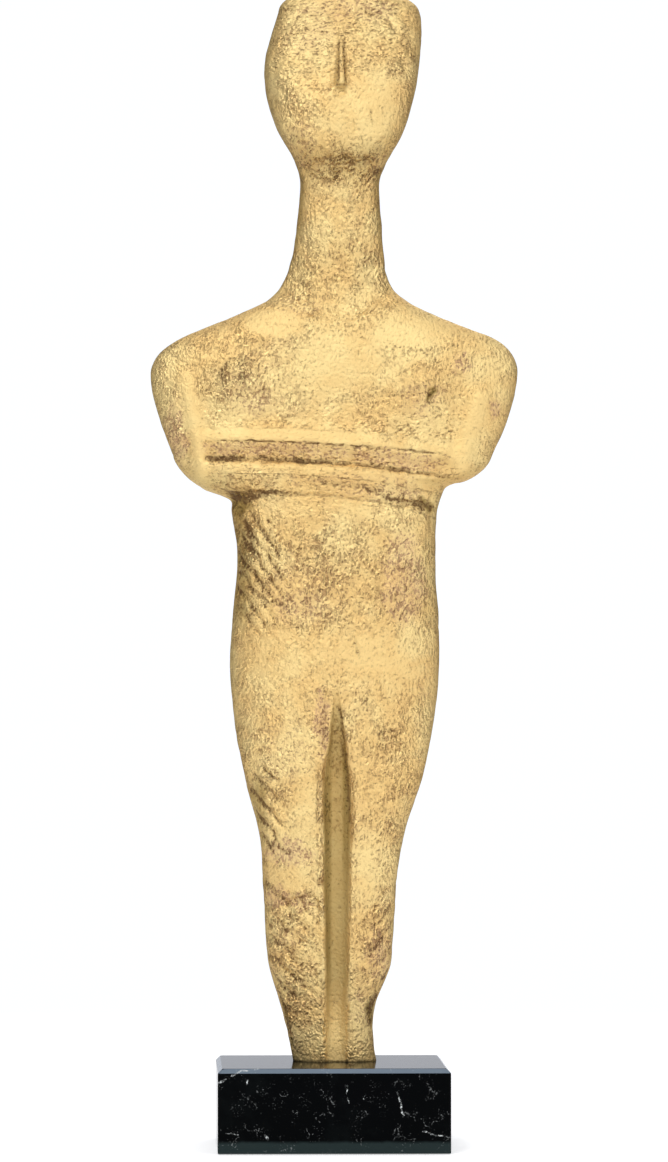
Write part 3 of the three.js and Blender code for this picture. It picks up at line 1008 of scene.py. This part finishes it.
        cuts, dark = self.cut_lines(skin)
        folds, folded = self.folds(skin, crust)
        rise = 0.18 * swell + rough * (0.16 * crust - 0.14 * grit) - 0.2 * pits
        rise = rise + folds - cuts + self.rims(skin)
        ragged_x, ragged_height = x + 1.6 * crust, height + 2.0 * grit + 1.4 * crust
        stain_and_shade = covered(self.stains_and_shade, ragged_x, ragged_height) * front
        painted_patch_shade = covered(self.shaded, ragged_x, ragged_height) * front
        trough = self.trough(skin) * skin.in_front
        below, above = self.recess_edges(skin)
        across = (self.level(skin) - below) / (above - below)
        marks = {
            # Pits, with painted shade in the forearms' grooves and edges and in some creases.
            Mark.PIT_AND_SHADE: np.maximum.reduce([0.6 * pits, dark, folded]),
            Mark.ROUGH: rough,
            Mark.LYING: lying,
            # Stains, partly painted shade in recesses.
            Mark.STAIN_AND_SHADE: stain_and_shade + 0.3 * smoothstep(0.0, 0.6, -swell),
            # Painted shade on the skin that turns aside or down, in the trough and on the shaded patches.
            Mark.SHADE: np.maximum.reduce([self.painted_turned_shade(skin, swell, crust), trough, painted_patch_shade]),
            Mark.ACROSS: (across + ARM_SPAN) / (2 * ARM_SPAN),
            Mark.ARMS: within(x, -27.5, 25.0, 2.5) * front,
        }
        return rise, marks

    def painted_turned_shade(self, skin: Skin, swell: np.ndarray, crust: np.ndarray) -> np.ndarray:
        """Paint shade where the skin turns aside or down.

        Args:
            skin: The smooth skin.
            swell: Wide noise that shifts where the flanks begin.
            crust: Finer noise that does the same.

        Returns:
            0 on the face of the front and the back, and more painted shade on the flanks, the undersides,
            the waist and the neck.
        """
        sideways, down = np.abs(skin.normals[..., 0]), -skin.normals[..., 2]
        turned = np.hypot(sideways, 0.8 * down)
        rim = smoothstep(0.88, 0.995, turned) * np.clip(0.75 + 0.5 * crust, 0.0, 1.0)
        flank = 0.3 * smoothstep(0.68, 1.0, turned + 0.06 * swell + 0.08 * crust) + 0.36 * rim
        waist = within(skin.height, *self.waist_heights, 6.0) * smoothstep(0.3, 0.75, sideways)
        waist = waist * np.where(skin.x < 0, 0.65, 0.25)
        neck = 0.62 * within(skin.height, *self.neck_heights, 6.0) * smoothstep(0.6, 0.95, sideways)
        return np.maximum.reduce([flank, 0.35 * smoothstep(0.15, 0.6, down), waist, neck])

    def folds(self, skin: Skin, crust: np.ndarray) -> tuple[np.ndarray, np.ndarray]:
        """Raise the rippled places and the arcs of the brow.

        Args:
            skin: The smooth skin.
            crust: Noise that bends and breaks the ridges.

        Returns:
            The rise in millimetres, and how dark the furrows are.
        """
        x, height = skin.x, skin.height
        broken = np.clip(0.85 + 0.8 * crust, 0.0, 1.0) * skin.front
        rise, dark = np.zeros(x.shape), np.zeros(x.shape)
        for ripple in self.ripples:
            lean = math.radians(ripple.lean)
            across = (height * math.cos(lean) - x * math.sin(lean)) / ripple.spacing
            wave = np.sin(2 * math.pi * (across + 0.3 * crust))
            cover = ripple.patch.cover(x, height) * broken
            rise = rise + ripple.depth * wave * cover
            dark = np.maximum(dark, ripple.dark * smoothstep(0.3, 0.95, -wave) * cover)
        away = np.hypot(x - self.brow_centre[0], height - self.brow_centre[1])
        wave = np.sin(2 * math.pi * (away / self.brow_spacing + 0.4 * crust))
        cover = within(away, 9.0, 24.0, 3.0) * smoothstep(231.0, 239.0, height) * broken
        rise = rise + self.brow_depth * wave * cover
        return rise, np.maximum(dark, 0.5 * smoothstep(0.55, 0.98, -wave) * cover)

    def above_chin(self, skin: Skin) -> np.ndarray:
        """Give the height above the chin's edge, which hangs over the neck in a shallow curve."""
        return skin.height - self.chin_edge - self.chin_curve * (skin.x - self.chin_x) ** 2

    def direction(self, height: np.ndarray) -> np.ndarray:
        """Say how the pits lie: 1 along the brow and the folded arms, 0 down the face and the neck."""
        lying = 0.15 + 0.75 * smoothstep(228, 238, height) + 0.5 * within(height, 135, 152, 8)
        return lying - 0.1 * within(height, 188, 222, 6)

    def roughness(self, skin: Skin) -> np.ndarray:
        """Say how pitted the skin is.

        Args:
            skin: The smooth skin.

        Returns:
            0 where the skin is worn smooth, and up to 1 where it is coarse.
        """
        x, height, front = skin.x, skin.height, skin.front
        level = self.level(skin)
        arms = within(np.abs(x), 0.0, self.forearm_end, 2.0)
        crests = within(level, *self.upper_crest, 0.7) + 0.5 * within(level, *self.lower_crest, 0.7)
        worn = np.maximum(0.5 * crests * arms, 0.8 * self.arm_rim(skin))
        smooth = np.maximum(covered(self.smooth, x, height), worn)
        fringe = 0.15 * within(level, *self.recess_band, 0.4) + 0.22 * within(level, *self.lower_band, 0.5)
        coarse = np.maximum(covered(self.coarse, x, height), fringe * arms)
        rough = 0.56 - 0.1 * smoothstep(219.0, 226.0, height)
        rough = rough + (np.clip(coarse, 0.0, 0.5) - np.clip(smooth, 0.0, 0.6)) * front
        inside, rim = self.trough_place(skin)
        rough = np.maximum(rough, 0.95 * rim * front)
        rough = rough * (1.0 - 0.95 * inside * front * (1.0 - smoothstep(40.0, 84.0, height)))
        return rough * smoothstep(-0.5, 2.0, height)

    def trough_place(self, skin: Skin) -> tuple[np.ndarray, np.ndarray]:
        """Find the trough between the legs.

        Args:
            skin: The smooth skin.

        Returns:
            1 inside the trough, and 1 on the rims beside it.
        """
        widening = smoothstep(0, self.cleft_full, skin.height)
        lower = self.cleft_foot_half + (self.cleft_half - self.cleft_foot_half) * widening
        closing = smoothstep(self.cleft_full, self.cleft_top, skin.height)
        half = lower + (self.cleft_top_half - lower) * closing
        away = np.abs(skin.x - self.cleft_x) - half
        legs = 1.0 - smoothstep(self.cleft_top - 9, self.cleft_top - 1, skin.height)
        return legs * (1.0 - smoothstep(-0.5, 0.2, away)), legs * within(away, 0.2, 1.3, 0.5)

    def trough(self, skin: Skin) -> np.ndarray:
        """Paint shade into the trough: most on its left wall, less on its floor, thinly at its right edge.

        Args:
            skin: The smooth skin.

        Returns:
            How dark the painted shade is at each place, from 0 to 1.
        """
        height = skin.height
        inside, _ = self.trough_place(skin)
        across = (skin.x - self.cleft_x) / self.cleft_half
        open_foot = 0.25 + 0.75 * smoothstep(4.0, 26.0, height)
        left = 0.3 * within(across, -1.0, -0.5, 0.25) * (1.0 - 0.6 * smoothstep(60.0, 80.0, height))
        right = 0.3 * within(across, 0.55, 1.0, 0.2) * smoothstep(30.0, 60.0, height)
        return inside * (0.62 + left + right) * open_foot

    def arm_rim(self, skin: Skin) -> np.ndarray:
        """Find the worn ridge along the inner edge of each upper arm.

        Args:
            skin: The smooth skin.

        Returns:
            1 on a ridge, falling off softly to 0.
        """
        left = distance_to_path(skin.x, skin.height, self.left_arm_ridge)
        right = distance_to_path(skin.x, skin.height, self.right_arm_ridge)
        return np.exp(-((np.minimum(left, 0.75 * right) / self.arm_ridge_width) ** 2))

    def rims(self, skin: Skin) -> np.ndarray:
        """Raise the ridges of the upper arms and the chin's edge, and ease the step above the forearms.

        Args:
            skin: The smooth skin.

        Returns:
            The rise in millimetres.
        """
        aside = np.abs(skin.x)
        step = np.exp(-(((self.level(skin) - self.arm_step) / 1.2) ** 2)) * within(aside, 0.0, 27.0, 3.0)
        over = self.above_chin(skin)
        chin = smoothstep(-0.7, 0.7, over) * (1.0 - smoothstep(2.0, 7.0, over))
        chin = chin * within(aside, 0.0, 12.0, 3.0)
        return (0.85 * self.arm_rim(skin) + 0.3 * step + 0.45 * chin) * skin.front

    def cut_lines(self, skin: Skin) -> tuple[np.ndarray, np.ndarray]:
        """Cut the grooves of the folded arms and the creases.

        Args:
            skin: The smooth skin.

        Returns:
            The depth of the cuts in millimetres, and how dark they are.
        """
        x, height, front = skin.x, skin.height, skin.front
        ragged = swirl(skin.points, (2.4, 2.4, 2.4), 71.3)
        broken = np.clip(0.55 + 1.1 * swirl(skin.points, (3.4, 3.4, 3.4), 19.1), 0.0, 1.0)
        level = self.level(skin) + 0.6 * ragged
        below, above = self.recess_edges(skin)
        arms = within(x, -29.5, 27.0, 2.5) * front
        groove = (1.0 - smoothstep(0.2, 1.2, np.abs(level - below))) * arms
        groove = groove * (0.4 + 0.6 * broken) * (1.0 - 0.15 * smoothstep(-12.0, 6.0, x))
        ledge = (1.0 - smoothstep(0.1, 0.6, np.abs(level - above))) * arms * (0.3 + 0.7 * broken)
        recess = within(level, below, above, 0.4) * arms
        trunk = within(x, -25.5, 24.5, 1.0) * front
        edge = (1.0 - smoothstep(0.2, 1.1, np.abs(level - self.forearm_edge))) * trunk
        ends = 1.0 - 0.6 * within(x, -8.0, 16.0, 5.0)
        depth = 0.5 * groove + 0.3 * recess + 0.15 * ledge + 0.4 * edge * ends
        # The groove, the ledge and the lower edge of the folded arms get painted shade; the creases get
        # brown, some of it painted shade.
        dark = np.maximum.reduce([groove, 0.85 * ledge, 0.95 * edge * broken * ends])
        for crease in self.creases:
            bend = ragged * min(0.5, 0.6 * crease.half_width)
            away = distance_to_path(x + bend, height + bend, crease.path)
            cover = (1.0 - smoothstep(0.2 * crease.half_width, crease.half_width, away)) * front
            depth = depth + crease.depth * cover
            dark = np.maximum(dark, crease.dark * cover * (0.6 + 0.4 * broken))
        return depth, dark

    def mesh(self, skin: np.ndarray) -> bpy.types.Object:
        """Join the skin's places into one closed mesh.

        Args:
            skin: The carved skin, in millimetres from the sole.

        Returns:
            A new piece with smooth shading.
        """
        rows, columns = skin.shape[:2]
        index = np.arange(rows * columns).reshape(rows, columns)
        beside = np.roll(index, -1, axis=1)
        quads = np.stack([index[:-1], beside[:-1], beside[1:], index[1:]], axis=2).reshape(-1, 4).tolist()
        points = np.concatenate([skin.reshape(-1, 3), skin[:1].mean(axis=1), skin[-1:].mean(axis=1)])
        sole, crown = rows * columns, rows * columns + 1
        quads += [(int(b), int(a), sole) for a, b in zip(index[0], beside[0])]
        quads += [(int(a), int(b), crown) for a, b in zip(index[-1], beside[-1])]
        piece = add_mesh("cast_figurine", ((points + (0.0, 0.0, self.sole)) * MM).tolist(), quads)
        for face in piece.data.polygons:
            face.use_smooth = sole not in face.vertices
        return piece

    def store(self, piece: bpy.types.Object, mark: Mark, values: np.ndarray) -> None:
        """Keep one mark on the piece's vertices.

        Args:
            piece: The carved piece.
            mark: The mark.
            values: Its values, by row and then column.
        """
        layer = piece.data.attributes.new(mark.value, "FLOAT", "POINT")
        ends = [values[0].mean(), values[-1].mean()]
        kept = np.clip(np.append(values.ravel(), ends), 0.0, 1.0)
        layer.data.foreach_set("value", kept.astype(np.float32))


@dataclass
class Plinth:
    """The marble block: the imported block's size and chamfers, with edges that are a little rounded."""

    chamfer: float = 1.1
    corner_cut: float = 0.5
    rounding: float = 0.16

    def build(self, material: bpy.types.Material) -> bpy.types.Object:
        """Make the block, dress it, and let it stand for its solid.

        Args:
            material: The plinth's finish.

        Returns:
            The finished piece.
        """
        block = self.block()
        bmesh.ops.bevel(
            block, geom=list(block.edges), offset=self.rounding * MM, offset_type="OFFSET",
            segments=3, profile=0.5, affect="EDGES", clamp_overlap=True,
        )
        mesh = bpy.data.meshes.new("marble_plinth")
        block.to_mesh(mesh)
        block.free()
        piece = bpy.data.objects.new("marble_plinth", mesh)
        bpy.context.scene.collection.objects.link(piece)
        for face in mesh.polygons:
            face.use_smooth = True
        weighted = piece.modifiers.new("flat_faces", "WEIGHTED_NORMAL")
        weighted.keep_sharp = True
        mesh.materials.append(material)
        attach(piece, BODY)
        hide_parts("plinth")
        return piece

    def block(self) -> bmesh.types.BMesh:
        """Join three levels of eight corners, of which the topmost is drawn in by the chamfer.

        Returns:
            The block with sharp edges.
        """
        low, high = (Vector(corner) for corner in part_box("plinth"))
        cut, chamfer = self.corner_cut * MM, self.chamfer * MM
        block = bmesh.new()
        rings = []
        for level, inset in ((low.z, 0.0), (high.z - chamfer, 0.0), (high.z, chamfer)):
            left, right = low.x + inset, high.x - inset
            front, back = low.y + inset, high.y - inset
            corners = (
                (left + cut, front), (right - cut, front), (right, front + cut), (right, back - cut),
                (right - cut, back), (left + cut, back), (left, back - cut), (left, front + cut),
            )
            rings.append([block.verts.new((x, y, level)) for x, y in corners])
        block.faces.new(rings[0][::-1])
        block.faces.new(rings[-1])
        for below, above in zip(rings, rings[1:]):
            for i in range(len(below)):
                block.faces.new((below[i - 1], below[i], above[i], above[i - 1]))
        block.normal_update()
        return block


@dataclass(frozen=True)
class SoftBox:
    """A square studio light: its place and aim in metres, its width, power in watts and colour."""

    name: str
    place: tuple[float, float, float]
    width: float
    power: float
    colour: Colour = (1.0, 1.0, 1.0)
    aim: tuple[float, float, float] = (0.0, 0.0, 0.14)

    def build(self) -> None:
        """Hang the light."""
        lamp = bpy.data.lights.new(self.name, "AREA")
        lamp.size = self.width
        lamp.energy = self.power
        lamp.color = self.colour
        light = bpy.data.objects.new(self.name, lamp)
        light.location = self.place
        light.rotation_euler = (Vector(self.aim) - Vector(self.place)).to_track_quat("-Z", "Y").to_euler()
        bpy.context.scene.collection.objects.link(light)


@dataclass
class Studio:
    """The camera, the soft light and the pale floor."""

    camera_place: tuple[float, float, float] = (-0.0409, -1.5557, 0.1152)
    camera_pitch: float = 0.735
    camera_yaw: float = -1.528
    lens: float = 201.1
    floor_radius: float = 0.6
    floor_colour: Colour = (0.85, 0.85, 0.85)
    floor_glow: float = 0.45
    lights: tuple[SoftBox, ...] = (
        SoftBox("key", (-0.32, -0.95, 0.85), 0.4, 7.0),
        SoftBox("fill", (0.95, -0.95, 0.55), 0.9, 5.6),
        SoftBox("top", (0.0, -0.15, 1.3), 1.0, 2.5),
        SoftBox("behind", (0.3, 1.3, 1.0), 1.0, 5.5),
    )

    def build(self) -> None:
        """Set up the whole studio."""
        bpy.context.scene.view_settings.view_transform = "Standard"
        self.add_camera()
        self.add_world()
        self.add_floor()
        for light in self.lights:
            light.build()

    def add_camera(self) -> None:
        """Place the camera where the figure was seen from."""
        camera = bpy.data.cameras.new("camera")
        camera.lens = self.lens
        camera.clip_start = 0.05
        holder = bpy.data.objects.new("camera", camera)
        holder.location = self.camera_place
        holder.rotation_euler = (math.radians(90 + self.camera_pitch), 0.0, math.radians(self.camera_yaw))
        bpy.context.scene.collection.objects.link(holder)
        bpy.context.scene.camera = holder

    def add_world(self) -> None:
        """Surround the set with soft light: bright behind and above, dim to the sides and in front."""
        world = bpy.data.worlds.new("studio")
        bpy.context.scene.world = world
        shader = Shader(world)
        direction = shader.node("ShaderNodeTexCoord", {}, {}).outputs["Generated"]
        split = shader.node("ShaderNodeSeparateXYZ", {}, {"Vector": direction})
        sideways = abs(Value(shader, split.outputs["X"]))
        behind = Value(shader, split.outputs["Y"])
        upward = Value(shader, split.outputs["Z"])
        soft = 0.16 + 0.2 * behind.rise(0.0, 0.8) + 0.4 * behind.rise(0.9, 0.99)
        soft = soft + 0.3 * upward.rise(0.1, 0.9)
        soft = soft * (1 - 0.65 * sideways.rise(0.25, 0.95))
        seen = shader.value("ShaderNodeLightPath", {}, {}, "Is Camera Ray")
        strength = soft * (1 - seen) + seen * 1.05
        inputs = {"Color": (0.95, 0.98, 1.05, 1.0), "Strength": strength}
        back = shader.node("ShaderNodeBackground", {}, inputs)
        shader.node("ShaderNodeOutputWorld", {}, {"Surface": back.outputs[0]})

    def add_floor(self) -> None:
        """Lay a round pale floor under the plinth."""
        ring = bmesh.new()
        bmesh.ops.create_circle(ring, cap_ends=True, segments=96, radius=self.floor_radius)
        mesh = bpy.data.meshes.new("floor")
        ring.to_mesh(mesh)
        ring.free()
        floor = bpy.data.objects.new("floor", mesh)
        floor.location.z = -0.0002
        bpy.context.scene.collection.objects.link(floor)
        paint = bpy.data.materials.new("pale_floor")
        shader = Shader(paint)
        inputs = {
            "Base Color": (*self.floor_colour, 1.0),
            "Roughness": 0.9,
            "Emission Color": (1.0, 1.0, 1.0, 1.0),
            "Emission Strength": self.floor_glow,
        }
        shader.surface(shader.node("ShaderNodeBsdfPrincipled", {}, inputs))
        mesh.materials.append(paint)


def main() -> None:
    """Build the studio and both pieces."""
    logging.basicConfig(level=logging.INFO, format="%(message)s")
    Studio().build()
    for piece in (Figurine().build(GiltBronze().material()), Plinth().build(BlackMarble().material())):
        log.info("%s: %d faces", piece.name, len(piece.data.polygons))


if __name__ == "__main__":
    main()
